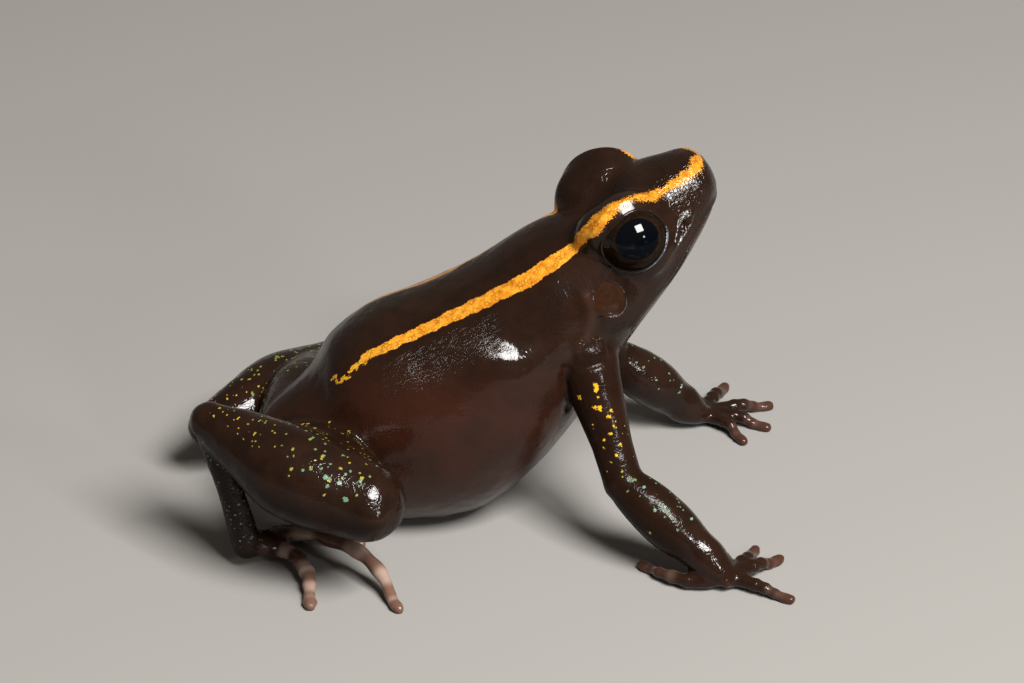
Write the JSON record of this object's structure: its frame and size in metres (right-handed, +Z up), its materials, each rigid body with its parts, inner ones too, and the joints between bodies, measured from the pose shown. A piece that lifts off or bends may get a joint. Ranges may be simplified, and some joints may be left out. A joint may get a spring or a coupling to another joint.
{
  "type": "poison frog figure",
  "caption": "Still, life-size figure of a small striped poison frog sitting upright with its head raised and its fingers and toes spread on the floor.",
  "frame": {"origin": "on the floor, under the middle of the animal's bounding box", "axes": "+X towards the snout and the longest extent of the animal, +Y to the frog's left, +Z up and the shortest extent"},
  "size_m": [0.0292, 0.0238, 0.0174],
  "materials": {
    "skin": "wet, glossy dark brown skin with a golden stripe along each side of the back",
    "pale_skin": "wet, paler pinkish brown skin of the fingers and toes",
    "eye": "wet, mirror-like cornea over a dark brown iris and a black pupil"
  },
  "bodies": {
    "root": {"head": "skin", "torso": "skin", "eye_right": "eye", "eye_left": "eye", "upper_arm_right": "skin", "upper_arm_left": "skin", "forearm_right": "skin", "forearm_left": "skin", "hand_right": "pale_skin", "hand_left": "pale_skin", "thigh_right": "skin", "thigh_left": "skin", "shank_right": "skin", "shank_left": "skin", "tarsus_right": "skin", "tarsus_left": "skin", "foot_right": "pale_skin", "foot_left": "pale_skin"}
  },
  "joints": []
}
